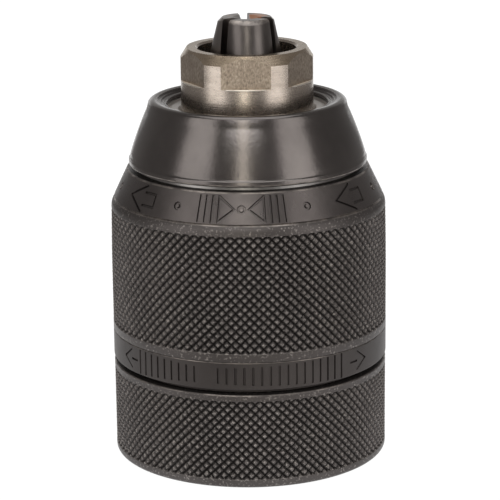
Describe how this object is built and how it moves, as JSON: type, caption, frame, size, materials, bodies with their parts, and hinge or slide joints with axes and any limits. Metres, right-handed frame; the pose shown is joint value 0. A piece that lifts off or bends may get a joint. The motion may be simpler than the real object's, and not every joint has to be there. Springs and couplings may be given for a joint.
{
  "type": "keyless drill chuck",
  "caption": "Keyless drill chuck with a fixed rear sleeve and a turning knurled sleeve that drives slanted jaws to grip a round or hexagonal tool shank.",
  "frame": {"origin": "centre of the rear face that the chuck stands on and that meets the drill spindle's shoulder", "axes": "+Z along the chuck's axis from the rear face to the jaws; -Y towards the nose flat seen from the front; +X to the right"},
  "size_m": [0.043, 0.043, 0.0687],
  "materials": {
    "ground_steel": "ground and turned bare steel, faint turning marks",
    "black_oxide": "black-oxide steel, knurled, edges worn lighter",
    "black_gloss": "polished black-oxide steel",
    "bright_ring": "bright turned steel",
    "bearing_steel": "hardened ground bearing steel",
    "cage_brass": "pressed brass",
    "carrier_steel": "turned steel, lightly oiled",
    "jaw_steel": "hardened dark ground steel",
    "carbide": "ground tungsten carbide with a copper braze line"
  },
  "bodies": {
    "body": {"chuck_body": "ground_steel", "rear_sleeve": "black_oxide", "front_cap": "black_gloss", "cap_retaining_ring": "bright_ring", "lower_bearing_race": "bearing_steel", "ratchet_ring": "carrier_steel"},
    "sleeve": {"clamping_sleeve": "black_oxide", "direction_ring": "black_oxide", "guide_bush": "cage_brass", "sleeve_carrier": "carrier_steel", "threaded_ring": "carrier_steel", "upper_bearing_race": "bearing_steel", "pawl_pin": "bearing_steel", "pawl_spring": "bearing_steel"},
    "cage": {"ball_cage": "cage_brass", "bearing_balls": "bearing_steel"},
    "pawl": {"lock_pawl": "carrier_steel"},
    "jaw_1": {"jaw_1": "jaw_steel", "jaw_insert_1": "carbide"},
    "jaw_2": {"jaw_2": "jaw_steel", "jaw_insert_2": "carbide"},
    "jaw_3": {"jaw_3": "jaw_steel", "jaw_insert_3": "carbide"}
  },
  "joints": [
    {"name": "sleeve_turn", "type": "hinge", "parent": "body", "child": "sleeve", "pos_m": [0, 0, 0.03], "axis": [0, 0, 1], "range_deg": [-585, 4350]},
    {"name": "cage_turn", "type": "hinge", "parent": "body", "child": "cage", "pos_m": [0, 0, 0.03], "axis": [0, 0, 1], "range_deg": [-293, 2176]},
    {"name": "pawl_swing", "type": "hinge", "parent": "sleeve", "child": "pawl", "pos_m": [-0.01386, -0.00504, 0.048], "axis": [0, 0, -1], "range_deg": [0, 6]},
    {"name": "jaw_1_slide", "type": "slide", "parent": "body", "child": "jaw_1", "axis": [-0.0405, 0.2556, 0.9659], "range_m": [-0.02176, 0.00293]},
    {"name": "jaw_2_slide", "type": "slide", "parent": "body", "child": "jaw_2", "axis": [-0.2011, -0.1629, 0.9659], "range_m": [-0.02176, 0.00293]},
    {"name": "jaw_3_slide", "type": "slide", "parent": "body", "child": "jaw_3", "axis": [0.2416, -0.0928, 0.9659], "range_m": [-0.02176, 0.00293]}
  ],
  "couplings": [
    {"joint": "cage_turn", "follows": "sleeve_turn", "ratio": 0.5},
    {"joint": "jaw_1_slide", "follows": "sleeve_turn", "m_per_rad": -0.00028648},
    {"joint": "jaw_2_slide", "follows": "sleeve_turn", "m_per_rad": -0.00028648},
    {"joint": "jaw_3_slide", "follows": "sleeve_turn", "m_per_rad": -0.00028648}
  ]
}
